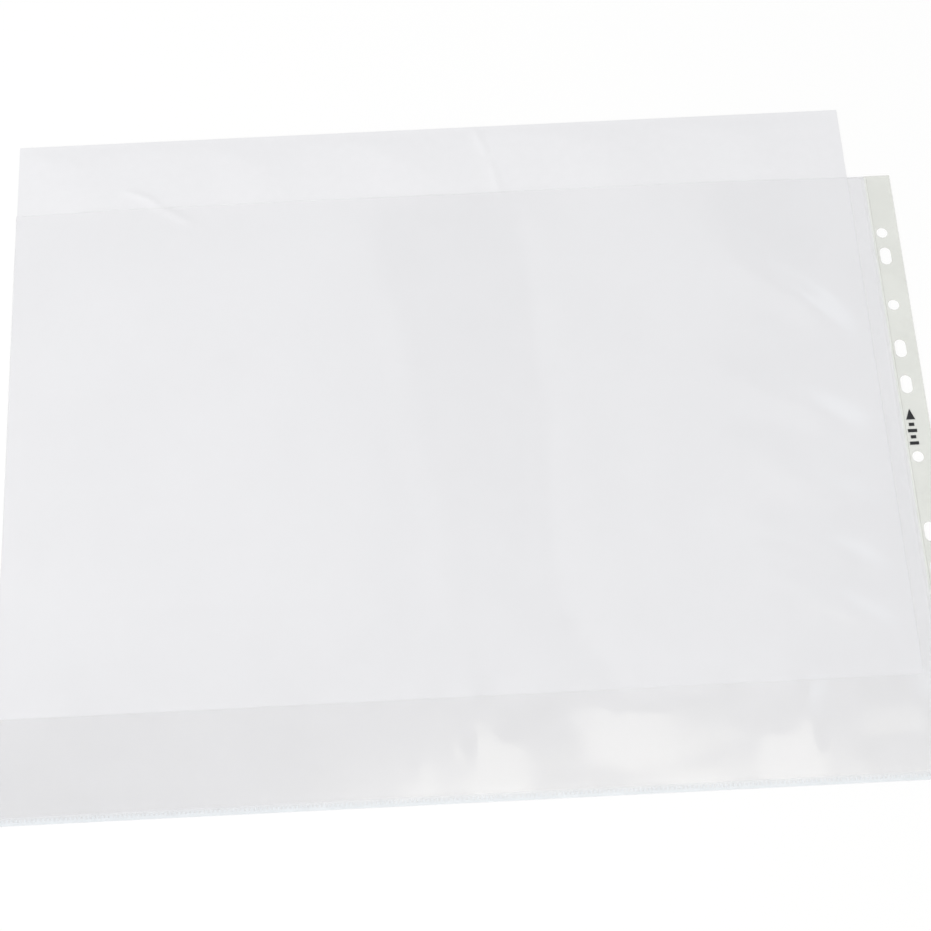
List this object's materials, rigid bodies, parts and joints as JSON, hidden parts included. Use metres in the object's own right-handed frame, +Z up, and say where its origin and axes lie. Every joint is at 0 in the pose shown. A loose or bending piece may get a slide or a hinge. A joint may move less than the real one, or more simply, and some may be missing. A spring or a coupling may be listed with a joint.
{
  "type": "sheet protector",
  "caption": "Clear film pocket with a punched binding strip; a paper sheet slides in through the open top edge and the strip bends along its weld.",
  "frame": {"origin": "centre of the footprint of the pocket and its part-inserted sheet, on the table", "axes": "+X along the mouth towards the punched strip, +Y out of the mouth, +Z up"},
  "size_m": [0.442, 0.3448, 0.0005],
  "materials": {
    "clear_film": "clear, glossy, slightly milky",
    "weld": "clear, embossed",
    "strip": "translucent, faintly green, satin",
    "paper": "uncoated white office paper"
  },
  "bodies": {
    "pocket": {"back_film": "clear_film", "front_film": "clear_film", "left_fold": "clear_film", "bottom_weld": "weld", "binding_weld": "weld"},
    "strip": {"binding_strip": "strip"},
    "sheet": {"insert_sheet": "paper"}
  },
  "joints": [
    {"name": "sheet_slide", "type": "slide", "parent": "pocket", "child": "sheet", "axis": [0, 1, 0], "range_m": [-0.0448, 0.262]},
    {"name": "strip_fold", "type": "hinge", "parent": "pocket", "child": "strip", "pos_m": [0.2085, -0.0199, 0.00025], "axis": [0, -1, 0], "range_deg": [0, 120]}
  ]
}
